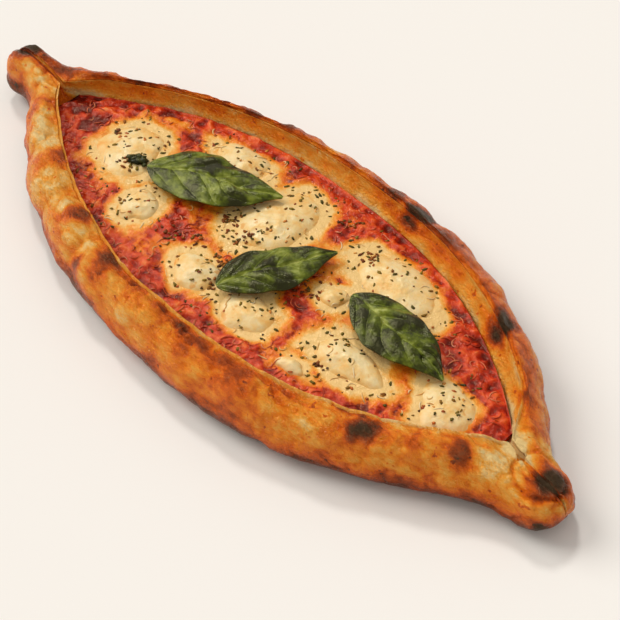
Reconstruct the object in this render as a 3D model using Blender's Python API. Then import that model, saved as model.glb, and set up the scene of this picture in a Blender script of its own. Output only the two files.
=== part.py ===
"""Turkish pide: a boat of baked dough, filled with tomato sauce, mozzarella pools and basil leaves.

Run with: blender --background --python part.py
Metres, +Z up. X runs along the boat, its underside lies on Z = 0, and the origin is the middle of
the underside. The dough, the sauce, each pool of cheese and each leaf is one closed object.
"""

import bmesh
import bpy
import numpy as np

# Driving dimensions of the boat
LENGTH = 0.325
HALF_LENGTH = LENGTH / 2
HALF_WIDTH = 0.0655
RIM_HEIGHT = 0.0240
LIP_DROP = 0.0022
TIP_HEIGHT = {"left": 0.0225, "right": 0.0205}
FLOOR_THICKNESS = 0.0070
GAP = 0.0004

# Plan outline of the outside: a lens that is widest at LENS_MIDDLE, closed by a round knob at each tip
LENS_MIDDLE = 0.015
LENS_REACH = {"left": 0.167, "right": 0.141}
LENS_POWER = {"near": {"left": 2.35, "right": 2.15}, "far": {"left": 2.10, "right": 2.35}}
KNOB_RADIUS = {"left": 0.0095, "right": 0.0125}
KNOB_SHIFT = {"left": 0.0045, "right": -0.0052}
KNOB_BLEND = 4.0

# Plan outline of the opening between the two lips
OPENING_HALF_WIDTH = 0.0470
OPENING_MIDDLE = 0.005
OPENING_REACH = {"left": 0.132, "right": 0.127}
OPENING_POWER = {"left": 2.60, "right": 2.35}
SEAM_HALF_WIDTH = 0.0009
SEAM_DEPTH = 0.0022
WALL_UNDERCUT = 0.0008
WALL_SLOPE = {"near": 0.0, "far": 0.34}
LIP_OVERHANG = {"near": 0.0028, "far": 0.0}

# Pleats: soft diagonal folds across the rolled rim
PLEAT_LENGTH = 0.029
PLEAT_START = -0.108
PLEAT_LEAN = 0.45
PLEAT_DEPTH = {"near": 0.0024, "far": 0.0014}

# Filling
SAUCE_ENDS = (-0.1225, 0.1275)
SAUCE_EDGE_HEIGHT = 0.0150
SAUCE_CROWN = 0.0030
CHEESE_THICKNESS = 0.0028
LEAF_THICKNESS = 0.0009

# Mesh density
STATIONS = 69
OUTER_POINTS = 9
INNER_POINTS = 5
FLOOR_POINTS = 3
FOOT_POINTS = 2

# Cheese pools: centre x, centre y, half length, half width, turn in degrees
CHEESE_POOLS = (
    (-0.0795, -0.0003, 0.0192, 0.0190, 0),
    (-0.0435, 0.0292, 0.0180, 0.0105, 6),
    (-0.0522, -0.0190, 0.0108, 0.0110, 0),
    (-0.0078, 0.0150, 0.0175, 0.0265, 4),
    (-0.0095, -0.0262, 0.0128, 0.0120, 0),
    (0.0195, -0.0260, 0.0152, 0.0124, 20),
    (0.0495, 0.0252, 0.0285, 0.0150, -6),
    (0.0375, 0.0030, 0.0080, 0.0062, 20),
    (0.0640, -0.0150, 0.0200, 0.0108, 0),
    (0.0500, -0.0318, 0.0080, 0.0048, 8),
    (0.1035, -0.0040, 0.0160, 0.0138, -12),
)

# Basil leaves: stem end x, y, tip x, y, half width, bow to the left of the way from stem to tip
BASIL_LEAVES = (
    (-0.0640, -0.0040, -0.0130, 0.0235, 0.0140, -0.0008),
    (0.0040, -0.0275, 0.0238, 0.0180, 0.0112, 0.0002),
    (0.0438, 0.0068, 0.0962, 0.0015, 0.0118, 0.0010),
)


def smooth_step(value, low, high):
    """0 up to low, 1 from high, and an S curve between."""
    share = np.clip((value - low) / (high - low), 0, 1)
    return share * share * (3 - 2 * share)


def lens(x, half_width, middle, reach, power):
    """Half width of a pointed lens: half_width * (1 - |s| ** power), s being 1 at its reach."""
    side = np.where(x < middle, reach["left"], reach["right"])
    bend = np.where(x < middle, power["left"], power["right"])
    return half_width * np.clip(1 - np.abs((x - middle) / side) ** bend, 0, None)


def knob(x):
    """Half width that the round knobs at the tips add, fading out towards the middle."""
    left = KNOB_RADIUS["left"] * smooth_step(-x, 0.105, 0.145)
    right = KNOB_RADIUS["right"] * smooth_step(x, 0.105, 0.145)
    return left + right


def outer_half_width(x, side):
    """Half width of the outside on the near or the far side."""
    body = lens(x, HALF_WIDTH, LENS_MIDDLE, LENS_REACH, LENS_POWER[side])
    return (body**KNOB_BLEND + knob(x) ** KNOB_BLEND) ** (1 / KNOB_BLEND)


def opening_half_width(x):
    """Half width between the lips, never less than the seam that closes the tips."""
    opening = lens(x, OPENING_HALF_WIDTH, OPENING_MIDDLE, OPENING_REACH, OPENING_POWER)
    return opening + SEAM_HALF_WIDTH


def ridge_height(x):
    """Height of the top of the rolled rim, which dips to the tip at the right and less at the left."""
    tip = np.where(x < 0, TIP_HEIGHT["left"], TIP_HEIGHT["right"])
    return RIM_HEIGHT + (tip - RIM_HEIGHT) * smooth_step(np.abs(x), 0.120, 0.150)


def lip_height(x):
    """Height of the inner lip, a little under the ridge."""
    return ridge_height(x) - LIP_DROP * (1 - 0.8 * smooth_step(np.abs(x), 0.120, 0.150))


def lip_overhang(x, side):
    """How far the rolled lip leans in over the filling, on the left of the near side."""
    return LIP_OVERHANG[side] * smooth_step(x, -0.124, -0.106) * smooth_step(-x, 0.025, 0.060)


def seam_depth(x):
    """Depth of the seam between the two rims in the closed tips, which fades out on the right knob."""
    return SEAM_DEPTH * (1 - 0.93 * smooth_step(x, 0.1385, 0.1460))


def floor_height(x):
    """The dough floor under the filling, which climbs to the bottom of the seam at both ends."""
    climb = smooth_step(-x, 0.110, 0.138) + smooth_step(x, 0.118, 0.141)
    return FLOOR_THICKNESS + (lip_height(x) - seam_depth(x) - FLOOR_THICKNESS) * climb


def centre_line(x):
    """Sideways shift of the middle: the knobs are twisted a little off the long axis."""
    left = KNOB_SHIFT["left"] * smooth_step(-x, 0.105, 0.150)
    right = KNOB_SHIFT["right"] * smooth_step(x, 0.122, 0.152)
    return left + right


def tip_scale(x):
    """Section size against the one where the knob starts: the quarter circle that rounds a tip off."""
    radius = np.where(x < 0, KNOB_RADIUS["left"], KNOB_RADIUS["right"])
    past = np.clip((np.abs(x) - (HALF_LENGTH - radius)) / radius, 0, 1)
    return np.sqrt(1 - past**2)


def spline(anchors, count):
    """Catmull-Rom curve through anchors (stations, anchors, 2), count points to each station."""
    padded = np.concatenate([anchors[:, :1], anchors, anchors[:, -1:]], axis=1)
    place = np.linspace(0, anchors.shape[1] - 1, count)
    first = np.minimum(place.astype(int), anchors.shape[1] - 2)
    t = (place - first)[None, :, None]
    a, b, c, d = (padded[:, first + i] for i in range(4))
    return 0.5 * (2 * b + (c - a) * t + (2 * a - 5 * b + 4 * c - d) * t**2 + (3 * b - a - 3 * c + d) * t**3)


def stacked(*points):
    """Points given as (y, z) pairs of per-station arrays, as one array (stations, points, 2)."""
    return np.stack([np.stack(np.broadcast_arrays(y, z), axis=-1) for y, z in points], axis=1)


def pleated(run, x, side):
    """The outer run with its soft diagonal pleats pressed towards the middle of the rim."""
    girth = np.linspace(0, 1, run.shape[1])
    turns = (x[:, None] - PLEAT_START) / PLEAT_LENGTH - PLEAT_LEAN * (girth[None, :] - 0.5)
    wave = 0.5 + 0.5 * np.cos(2 * np.pi * turns)
    window = np.sin(np.pi * girth)[None, :] * smooth_step(0.150 - np.abs(x), 0, 0.02)[:, None]
    strength = np.ones_like(x) if side == "far" else 0.25 + 0.75 * smooth_step(-x, 0.02, 0.06)
    inwards = run.mean(axis=1, keepdims=True) - run
    inwards /= np.linalg.norm(inwards, axis=-1, keepdims=True)
    return run + inwards * (PLEAT_DEPTH[side] * strength[:, None] * window * wave**2)[:, :, None]


def half_section(x, side):
    """Half of the dough's section at each x, from the foot round the rim to the floor, as (y, z) with y >= 0."""
    wide, opening = outer_half_width(x, side), opening_half_width(x)
    ridge, lip, floor = ridge_height(x), lip_height(x), floor_height(x)
    roll = wide - opening
    foot = wide - np.minimum(0.0065, 0.5 * wide)
    inner = np.minimum(WALL_UNDERCUT, 0.3 * opening)
    slope = WALL_SLOPE[side] * smooth_step(opening, 0.001, 0.012)
    over = lip_overhang(x, side)
    outer = stacked(
        (foot, 0 * x),
        (wide - 0.04 * roll, 0.22 * ridge),
        (wide, 0.45 * ridge),
        (wide - 0.18 * roll, 0.80 * ridge),
        (wide - 0.55 * roll - 0.4 * over, ridge),
        (opening + (0.14 + 0.75 * slope) * roll - over, 0.4 * ridge + 0.6 * lip),
        (opening + slope * roll - over, lip),
    )
    corner = np.minimum(0.0045, 0.6 * opening)
    wall = stacked(
        (opening + slope * roll - over, lip),
        (opening + inner + 0.18 * slope * roll, 0.55 * lip + 0.45 * floor),
        (opening + 0.4 * inner, 0.2 * lip + 0.8 * floor),
        (opening - corner, floor),
    )
    outer = pleated(spline(outer, OUTER_POINTS), x, side)
    inner_run = spline(wall, INNER_POINTS)[:, 1:]
    across = np.linspace(1, 0, FLOOR_POINTS + 1)[1:-1]
    flat = stacked(*[((opening - corner) * share, floor) for share in across])
    under = stacked(*[(foot * share, 0 * x) for share in np.linspace(0, 1, FOOT_POINTS + 1)[1:-1]])
    return np.concatenate([under, outer, inner_run, flat], axis=1)


def crust_rings():
    """Rings of the dough, one for each station along X, and the two points that close the tips."""
    x = -HALF_LENGTH * np.cos(np.linspace(0, np.pi, STATIONS + 2)[1:-1])
    start = HALF_LENGTH - np.where(x < 0, KNOB_RADIUS["left"], KNOB_RADIUS["right"])
    held = np.clip(x, -start, start)
    far, near = half_section(held, "far"), half_section(held, "near")
    near = near * np.array([-1, 1])
    middle_floor = stacked((0 * held, floor_height(held)))
    middle_foot = stacked((0 * held, 0 * held))
    section = np.concatenate([middle_foot, far, middle_floor, near[:, ::-1]], axis=1)
    scale, centre = tip_scale(x)[:, None], 0.5 * ridge_height(held)[:, None]
    y = section[:, :, 0] * scale + centre_line(x)[:, None]
    z = centre + (section[:, :, 1] - centre) * scale
    rings = np.stack([np.broadcast_to(x[:, None], y.shape), y, z], axis=-1)
    tips = np.array([-HALF_LENGTH, HALF_LENGTH])
    ends = np.stack([tips, centre_line(tips), 0.5 * ridge_height(tips)], axis=-1)
    return rings, ends


def filling_height(x, y):
    """Top of the sauce: level at its edge, crowned by SAUCE_CROWN in the middle of the boat."""
    reach = opening_half_width(x)
    crown = SAUCE_CROWN * reach / OPENING_HALF_WIDTH
    return SAUCE_EDGE_HEIGHT + crown * np.clip(1 - ((y - centre_line(x)) / reach) ** 2, 0, 1)


def sauce_rings():
    """Sections of the sauce, which fills the boat from its floor up to the filling's top."""
    x = np.linspace(*SAUCE_ENDS, 49)
    reach = opening_half_width(x) - GAP
    under = np.minimum(floor_height(x) + 2 * GAP, SAUCE_EDGE_HEIGHT - 0.0014)
    depth = SAUCE_EDGE_HEIGHT - under
    toe = np.minimum(0.0085, 0.75 * reach)
    half = stacked(
        (0.5 * (reach - toe), under),
        (reach - toe, under),
        (reach - 0.35 * toe, under + 0.28 * depth),
        (reach - 0.06 * toe, under + 0.65 * depth),
        (reach, 0 * x + SAUCE_EDGE_HEIGHT),
    )
    shift = centre_line(x)
    across = np.linspace(1, -1, 13)[1:-1]
    top = stacked(*[(reach * share, filling_height(x, reach * share + shift)) for share in across])
    other = half[:, ::-1] * np.array([-1, 1])
    bottom = stacked((0 * x, under))
    section = np.concatenate([bottom, half, top, other], axis=1)
    section[:, :, 0] += shift[:, None]
    return np.concatenate([np.broadcast_to(x[:, None, None], section.shape[:2] + (1,)), section], axis=-1)


def material(name, colour, roughness):
    """A Principled BSDF of one colour and roughness."""
    made = bpy.data.materials.new(name)
    made.use_nodes = True
    shader = made.node_tree.nodes["Principled BSDF"]
    shader.inputs["Base Color"].default_value = (*colour, 1)
    shader.inputs["Roughness"].default_value = roughness
    return made


def loft(name, rings, ends, finish):
    """A closed object: rings joined side by side, closed by a fan to each end point, or by a flat cap."""
    mesh = bmesh.new()
    loops = [[mesh.verts.new(point) for point in ring] for ring in rings]
    for ring, following in zip(loops, loops[1:]):
        for i, vertex in enumerate(ring):
            j = (i + 1) % len(ring)
            mesh.faces.new((vertex, ring[j], following[j], following[i]))
    if ends is not None:
        for ring, point in zip((loops[0], loops[-1]), ends):
            pole = mesh.verts.new(point)
            for i, vertex in enumerate(ring):
                mesh.faces.new((vertex, ring[(i + 1) % len(ring)], pole))
    else:
        mesh.faces.new(loops[0])
        mesh.faces.new(loops[-1])
    return placed(name, mesh, finish)


def placed(name, mesh, finish):
    """The bmesh as a smooth-shaded object with its faces pointing out."""
    bmesh.ops.recalc_face_normals(mesh, faces=mesh.faces)
    data = bpy.data.meshes.new(name)
    mesh.to_mesh(data)
    mesh.free()
    data.shade_smooth()
    data.set_sharp_from_angle(angle=np.radians(50))
    data.materials.append(finish)
    made = bpy.data.objects.new(name, data)
    bpy.context.collection.objects.link(made)
    return made


def pool_outline(number, count):
    """Radius of a pool at count directions, against its ellipse: three slow waves that differ for each pool."""
    turn = np.linspace(0, 2 * np.pi, count, endpoint=False)
    waves = ((2, 0.07, 1.3), (3, 0.06, 2.1), (5, 0.035, 0.7))
    return turn, 1 - 0.08 + sum(size * np.cos(n * turn + phase * (number + 1)) for n, size, phase in waves)


def cheese_pool(number, finish):
    """A flat-bottomed dome of melted cheese that follows the crown of the sauce."""
    x0, y0, long, wide, degrees = CHEESE_POOLS[number]
    turn, wobble = pool_outline(number, 24)
    angle = np.radians(degrees)
    steps = ((1.0, 0.0), (1.0, 0.45), (0.86, 0.80), (0.60, 0.95), (0.30, 1.0))
    mesh = bmesh.new()
    loops = []
    for share, rise in steps:
        along = long * wobble * share * np.cos(turn)
        aside = wide * wobble * share * np.sin(turn)
        x = x0 + along * np.cos(angle) - aside * np.sin(angle)
        y = y0 + along * np.sin(angle) + aside * np.cos(angle)
        z = filling_height(x, y) + GAP + rise * CHEESE_THICKNESS
        loops.append([mesh.verts.new(point) for point in zip(x, y, z)])
    for ring, following in zip(loops, loops[1:]):
        for i, vertex in enumerate(ring):
            j = (i + 1) % len(ring)
            mesh.faces.new((vertex, ring[j], following[j], following[i]))
    for ring, rise in ((loops[0], 0.0), (loops[-1], 1.0)):
        middle = filling_height(np.array(x0), np.array(y0)) + GAP + rise * CHEESE_THICKNESS
        pole = mesh.verts.new((x0, y0, float(middle)))
        for i, vertex in enumerate(ring):
            mesh.faces.new((vertex, ring[(i + 1) % len(ring)], pole))
    return placed(f"mozzarella_{number + 1}", mesh, finish)


def basil_leaf(number, finish):
    """A leaf with a raised midrib and arched halves, on the cheese and a leaf's thickness thick."""
    stem_x, stem_y, tip_x, tip_y, half_width, bow = BASIL_LEAVES[number]
    stem, tip = np.array([stem_x, stem_y]), np.array([tip_x, tip_y])
    way = (tip - stem) / np.linalg.norm(tip - stem)
    left = np.array([-way[1], way[0]])
    along = np.linspace(0, 1, 15)[1:-1]
    outline = half_width * 1.03 * np.sin(np.pi * along**0.82) ** 0.85
    across = np.linspace(-1, 1, 9)
    spine = stem + np.outer(along, tip - stem) + np.outer(bow * np.sin(np.pi * along), left)
    flat = spine[:, None, :] + (outline[:, None] * across)[:, :, None] * left
    arch = 0.0022 * (1 - across**2)[None, :] * np.sin(np.pi * along)[:, None]
    base = filling_height(flat[..., 0], flat[..., 1]) + CHEESE_THICKNESS + 3 * GAP
    under = np.concatenate([flat, (base + arch)[..., None]], axis=-1)
    over = under + np.array([0, 0, LEAF_THICKNESS])
    rings = np.concatenate([under, over[:, ::-1]], axis=1)
    ends = []
    for point in (stem, tip):
        height = filling_height(point[:1], point[1:])[0] + CHEESE_THICKNESS + 3 * GAP + LEAF_THICKNESS / 2
        ends.append((*point, float(height)))
    return loft(f"basil_leaf_{number + 1}", rings, ends, finish)


def main():
    for old in list(bpy.data.objects):
        bpy.data.objects.remove(old)
    dough = material("baked dough", (0.80, 0.42, 0.14), 0.45)
    sauce = material("tomato sauce", (0.52, 0.06, 0.02), 0.30)
    cheese = material("melted mozzarella", (0.88, 0.76, 0.48), 0.35)
    basil = material("basil", (0.04, 0.11, 0.02), 0.35)
    rings, ends = crust_rings()
    loft("crust", rings, ends, dough)
    loft("tomato_sauce", sauce_rings(), None, sauce)
    for number in range(len(CHEESE_POOLS)):
        cheese_pool(number, cheese)
    for number in range(len(BASIL_LEAVES)):
        basil_leaf(number, basil)


main()
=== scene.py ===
"""Builds a baked turkish pide: golden crust, chunky tomato sauce, melted mozzarella, basil and dried herbs.

The pide lies along X with its underside on Z = 0; all sizes are in metres.
"""

import bpy
import numpy as np
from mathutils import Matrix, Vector


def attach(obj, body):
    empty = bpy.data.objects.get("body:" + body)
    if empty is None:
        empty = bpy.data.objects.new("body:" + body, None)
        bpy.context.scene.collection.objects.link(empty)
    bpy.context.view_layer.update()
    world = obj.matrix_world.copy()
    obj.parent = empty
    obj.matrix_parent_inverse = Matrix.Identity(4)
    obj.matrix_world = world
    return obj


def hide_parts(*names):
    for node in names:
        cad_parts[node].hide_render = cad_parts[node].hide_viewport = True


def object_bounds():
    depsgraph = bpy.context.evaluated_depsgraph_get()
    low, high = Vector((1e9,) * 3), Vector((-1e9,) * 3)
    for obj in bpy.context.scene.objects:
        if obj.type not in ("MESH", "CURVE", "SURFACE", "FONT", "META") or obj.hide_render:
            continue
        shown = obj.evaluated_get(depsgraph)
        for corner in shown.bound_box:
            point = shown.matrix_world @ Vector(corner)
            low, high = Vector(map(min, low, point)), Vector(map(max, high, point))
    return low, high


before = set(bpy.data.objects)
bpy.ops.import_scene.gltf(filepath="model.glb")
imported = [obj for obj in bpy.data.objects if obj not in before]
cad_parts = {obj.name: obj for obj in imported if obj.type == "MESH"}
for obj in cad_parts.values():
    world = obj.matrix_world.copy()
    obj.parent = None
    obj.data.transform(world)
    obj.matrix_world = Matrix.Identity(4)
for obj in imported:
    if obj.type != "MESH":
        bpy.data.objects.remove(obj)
CAD_BOX = [list(map(float, corner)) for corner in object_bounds()]

bl_info = {
    "name": "Turkish Pide",
    "version": (1, 0, 0),
    "blender": (4, 5, 0),
    "location": "3D View > Sidebar > Pide",
    "description": "Builds a baked turkish pide with its sauce, cheese, basil and seasoning",
    "category": "Add Mesh",
}

# Boat
LENGTH = 0.325
HALF_LENGTH = LENGTH / 2
HALF_WIDTH = 0.0655
RIM_HEIGHT = 0.0240
LIP_DROP = 0.0022
TIP_HEIGHT = {"left": 0.0225, "right": 0.0205}
FLOOR_THICKNESS = 0.0070
LENS_MIDDLE = 0.015
LENS_REACH = {"left": 0.167, "right": 0.141}
LENS_POWER = {"near": {"left": 2.35, "right": 2.15}, "far": {"left": 2.10, "right": 2.35}}
KNOB_RADIUS = {"left": 0.0095, "right": 0.0125}
KNOB_SHIFT = {"left": 0.0045, "right": -0.0052}
KNOB_BLEND = 4.0
OPENING_HALF_WIDTH = 0.0470
OPENING_MIDDLE = 0.005
OPENING_REACH = {"left": 0.132, "right": 0.127}
OPENING_POWER = {"left": 2.60, "right": 2.35}
SEAM_HALF_WIDTH = 0.0009
SEAM_DEPTH = 0.0022
WALL_UNDERCUT = 0.0008
WALL_SLOPE = {"near": 0.0, "far": 0.34}
LIP_OVERHANG = {"near": 0.0028, "far": 0.0}
PLEAT_LENGTH = 0.029
PLEAT_START = -0.108
PLEAT_LEAN = 0.45
PLEAT_DEPTH = {"near": 0.0024, "far": 0.0014}

# Filling
SAUCE_ENDS = (-0.1225, 0.1275)
SAUCE_EDGE_HEIGHT = 0.0150
SAUCE_CROWN = 0.0030
CHEESE_THICKNESS = 0.0028
LEAF_THICKNESS = 0.0009
GAP = 0.0004
HALO = 0.0065
CHEESE_SINK = 0.0012
CHEESE_FLOAT = 0.00045
LEAF_REST = CHEESE_THICKNESS + 3 * GAP

# Stage
TABLE_HALF_SIDE = 3.0
SKY_COLOUR = (1.0, 0.955, 0.89)
CAMERA_PLACE = (0.38506, -0.33920, 0.55249)
CAMERA_AIM = (0.02401, 0.00302, 0.0)
LENS_MM = 110.3
SENSOR_MM = 36

# Suns: direction as a place seen from the aim, width of the sun in degrees, share of the key strength, colour
SUNS = {
    "key": ((-0.72, -0.26, 0.62), 36, 1.0, (1.0, 0.96, 0.90)),
    "spark": ((-0.55, 0.35, 0.80), 9, 0.50, (1.0, 0.97, 0.92)),
}

# Cheese pools: centre x, centre y, half length, half width, turn in degrees
CHEESE_POOLS = (
    (-0.0795, -0.0003, 0.0192, 0.0190, 0),
    (-0.0435, 0.0292, 0.0180, 0.0105, 6),
    (-0.0522, -0.0190, 0.0108, 0.0110, 0),
    (-0.0078, 0.0150, 0.0175, 0.0265, 4),
    (-0.0095, -0.0262, 0.0128, 0.0120, 0),
    (0.0195, -0.0260, 0.0152, 0.0124, 20),
    (0.0495, 0.0252, 0.0285, 0.0150, -6),
    (0.0375, 0.0030, 0.0080, 0.0062, 20),
    (0.0640, -0.0150, 0.0200, 0.0108, 0),
    (0.0500, -0.0318, 0.0080, 0.0048, 8),
    (0.1035, -0.0040, 0.0160, 0.0138, -12),
)

# Basil leaves: stem end x, y, tip x, y, half width, bow, puckering, edge curl
BASIL_LEAVES = (
    (-0.0640, -0.0040, -0.0130, 0.0235, 0.0140, -0.0008, 0.00135, 0.0012),
    (0.0040, -0.0275, 0.0238, 0.0180, 0.0112, 0.0002, 0.00130, 0.0020),
    (0.0438, 0.0068, 0.0962, 0.0015, 0.0118, 0.0010, 0.00150, 0.0026),
)

# Patches between the pools where the sauce comes through: x, y, radius
SAUCY_PATCHES = (
    (0.030, -0.006, 0.0085), (-0.034, -0.018, 0.0080), (0.087, -0.012, 0.0070), (-0.063, 0.024, 0.0075),
    (0.018, 0.030, 0.0070), (-0.066, -0.018, 0.0060), (0.038, -0.026, 0.0070), (0.084, 0.012, 0.0070),
)

# Clumps of toasted crumbs and browned herbs on the filling: x, y
CRUMB_CLUMPS = (
    (-0.022, -0.015), (-0.006, -0.014), (-0.009, -0.001), (-0.073, -0.007), (0.033, 0.028), (-0.030, -0.022),
    (0.056, -0.024), (-0.001, -0.027), (-0.020, 0.001), (0.028, -0.002), (-0.092, 0.004), (0.013, 0.036),
)

# A crisped scrap of basil: x, y
HERB_SCRAP = (-0.0715, -0.0035)

# Toasted and charred spots on the crust: x, y, radius, strength, stretch across the rim
TOAST_SPOTS = (
    (-0.156, 0.006, 0.0075, 0.6, 1.2), (-0.122, -0.012, 0.0046, 0.36, 2.2),
    (-0.094, -0.029, 0.0055, 0.4, 2.0), (-0.061, -0.043, 0.0055, 0.48, 1.9),
    (-0.033, -0.049, 0.0058, 0.62, 1.7), (-0.044, -0.057, 0.0034, 0.4, 1.5),
    (-0.012, -0.048, 0.005, 0.2, 1.0), (0.001, -0.049, 0.006, 0.26, 1.0), (0.013, -0.048, 0.0058, 0.3, 1.0),
    (0.024, -0.05, 0.0056, 0.3, 1.2), (0.034, -0.052, 0.005, 0.24, 1.2), (0.044, -0.05, 0.008, 0.34, 1.3),
    (0.063, -0.046, 0.0055, 0.26, 1.4), (0.079, -0.034, 0.0026, 0.62, 1.0),
    (0.095, -0.035, 0.0066, 0.66, 1.1), (0.091, -0.04, 0.004, 0.3, 1.4), (0.11, -0.026, 0.004, 0.34, 1.4),
    (0.124, -0.018, 0.0036, 0.36, 1.4), (0.129, -0.009, 0.003, 0.28, 1.0),
    (-0.133, 0.007, 0.005, 0.34, 1.2), (-0.121, 0.016, 0.006, 0.3, 1.0), (-0.104, 0.026, 0.0065, 0.4, 0.9),
    (-0.09, 0.034, 0.0045, 0.3, 0.9), (-0.073, 0.04, 0.006, 0.36, 0.9), (-0.055, 0.047, 0.005, 0.3, 0.9),
    (-0.04, 0.053, 0.0065, 0.5, 0.9), (-0.024, 0.055, 0.0045, 0.28, 0.9), (-0.01, 0.056, 0.006, 0.36, 0.9),
    (0.008, 0.057, 0.004, 0.26, 0.9), (0.018, 0.055, 0.006, 0.42, 0.9), (0.031, 0.055, 0.0078, 0.62, 1.0),
    (0.046, 0.052, 0.005, 0.28, 1.0), (0.06, 0.048, 0.006, 0.32, 1.0), (0.094, 0.035, 0.0056, 0.72, 1.2),
    (0.119, 0.015, 0.0032, 0.46, 1.0), (0.135, 0.009, 0.0045, 0.36, 1.2),
    (0.153, -0.005, 0.0058, 0.72, 1.0), (0.16, -0.015, 0.0032, 0.46, 1.0),
)


def smooth_step(value, low, high):
    """0 up to low, 1 from high, and an S curve between."""
    share = np.clip((value - low) / (high - low), 0, 1)
    return share * share * (3 - 2 * share)


def plateau(value, low, rise_end, fall_start, high):
    """0 up to low, 1 from rise_end to fall_start, 0 again from high, with S curves between."""
    return smooth_step(value, low, rise_end) * smooth_step(-value, -high, -fall_start)


def lattice(cell, seed):
    """A repeatable random value from -1 to 1 for each whole-number cell (..., 3)."""
    mixed = (cell[..., 0] * 73856093) ^ (cell[..., 1] * 19349663) ^ (cell[..., 2] * 83492791) ^ (seed * 40503)
    mixed = (mixed ^ (mixed >> 13)) * 1274126177
    mixed = mixed ^ (mixed >> 16)
    return (mixed & 0xFFFF) / 32767.5 - 1


def noise(points, size, seed=0):
    """Smooth noise from -1 to 1: random values on a lattice of that cell size, blended by S curves."""
    place = points / size + 517.3
    cell = np.floor(place).astype(np.int64)
    share = place - cell
    share = share * share * (3 - 2 * share)
    total = np.zeros(points.shape[:-1])
    for corner in np.ndindex(2, 2, 2):
        step = np.array(corner)
        total += np.prod(np.where(step, share, 1 - share), axis=-1) * lattice(cell + step, seed)
    return total


def layered(points, size, layers, seed=0):
    """Noise of halving cell size and strength, added up."""
    return sum(noise(points, size / 2**n, seed + n) / 2**n for n in range(layers))


def points_of(*coordinates):
    """Points (..., n) from n arrays of coordinates."""
    return np.stack(np.broadcast_arrays(*coordinates), axis=-1)


def plan(x, y):
    """x and y as points (..., 3) with z zero."""
    return points_of(x, y, 0.0)


def turned(u, v, angle):
    """u and v turned by an angle."""
    return u * np.cos(angle) - v * np.sin(angle), u * np.sin(angle) + v * np.cos(angle)


def lens(x, half_width, middle, reach, power):
    """Half width of a pointed lens: half_width * (1 - |s| ** power), s being 1 at its reach."""
    side = np.where(x < middle, reach["left"], reach["right"])
    bend = np.where(x < middle, power["left"], power["right"])
    return half_width * np.clip(1 - np.abs((x - middle) / side) ** bend, 0, None)


def knob(x):
    """Half width that the round knobs at the tips add."""
    left = KNOB_RADIUS["left"] * smooth_step(-x, 0.105, 0.145)
    right = KNOB_RADIUS["right"] * smooth_step(x, 0.105, 0.145)
    return left + right


def outer_half_width(x, side):
    """Half width of the outside on the near or the far side."""
    body = lens(x, HALF_WIDTH, LENS_MIDDLE, LENS_REACH, LENS_POWER[side])
    return (body**KNOB_BLEND + knob(x) ** KNOB_BLEND) ** (1 / KNOB_BLEND)


def opening_half_width(x):
    """Half width between the lips, never less than the seam that closes the tips."""
    return lens(x, OPENING_HALF_WIDTH, OPENING_MIDDLE, OPENING_REACH, OPENING_POWER) + SEAM_HALF_WIDTH


def ridge_height(x):
    """Height of the top of the rolled rim."""
    tip = np.where(x < 0, TIP_HEIGHT["left"], TIP_HEIGHT["right"])
    return RIM_HEIGHT + (tip - RIM_HEIGHT) * smooth_step(np.abs(x), 0.120, 0.150)


def lip_height(x):
    """Height of the inner lip, a little under the ridge."""
    return ridge_height(x) - LIP_DROP * (1 - 0.8 * smooth_step(np.abs(x), 0.120, 0.150))


def lip_overhang(x, side):
    """How far the rolled lip leans in over the filling, on the left of the near side."""
    return LIP_OVERHANG[side] * plateau(x, -0.124, -0.106, -0.060, -0.025)


def seam_depth(x):
    """Depth of the seam in the closed tips, which fades out on the right knob."""
    return SEAM_DEPTH * (1 - 0.93 * smooth_step(x, 0.1385, 0.1460))


def floor_height(x):
    """The dough floor, which climbs to the bottom of the seam at both ends."""
    climb = smooth_step(-x, 0.110, 0.138) + smooth_step(x, 0.118, 0.141)
    return FLOOR_THICKNESS + (lip_height(x) - seam_depth(x) - FLOOR_THICKNESS) * climb


def centre_line(x):
    """Sideways shift of the middle: the knobs are twisted a little off the long axis."""
    left = KNOB_SHIFT["left"] * smooth_step(-x, 0.105, 0.150)
    right = KNOB_SHIFT["right"] * smooth_step(x, 0.122, 0.152)
    return left + right


def tip_scale(x):
    """Section size against the one where the knob starts: a quarter circle."""
    radius = np.where(x < 0, KNOB_RADIUS["left"], KNOB_RADIUS["right"])
    past = np.clip((np.abs(x) - (HALF_LENGTH - radius)) / radius, 0, 1)
    return np.sqrt(1 - past**2)


def spline(anchors, count):
    """Catmull-Rom curve through anchors (stations, anchors, 2), count points to each station."""
    padded = np.concatenate([anchors[:, :1], anchors, anchors[:, -1:]], axis=1)
    place = np.linspace(0, anchors.shape[1] - 1, count)
    first = np.minimum(place.astype(int), anchors.shape[1] - 2)
    t = (place - first)[None, :, None]
    a, b, c, d = (padded[:, first + i] for i in range(4))
    return 0.5 * (2 * b + (c - a) * t + (2 * a - 5 * b + 4 * c - d) * t**2 + (3 * b - a - 3 * c + d) * t**3)


def stacked(*points):
    """(y, z) pairs of per-station arrays as one array (stations, points, 2)."""
    return np.stack([points_of(y, z) for y, z in points], axis=1)


def filling_height(x, y):
    """Smooth top of the sauce: level at its edge, crowned in the middle of the boat."""
    reach = opening_half_width(x)
    crown = SAUCE_CROWN * reach / OPENING_HALF_WIDTH
    return SAUCE_EDGE_HEIGHT + crown * np.clip(1 - ((y - centre_line(x)) / reach) ** 2, 0, 1)


def pool_outline(number, turn):
    """Radius of a pool in a direction, against its ellipse: three slow waves that differ for each pool."""
    waves = ((2, 0.07, 1.3), (3, 0.06, 2.1), (5, 0.035, 0.7))
    return 0.92 + sum(size * np.cos(n * turn + phase * (number + 1)) for n, size, phase in waves)


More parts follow.
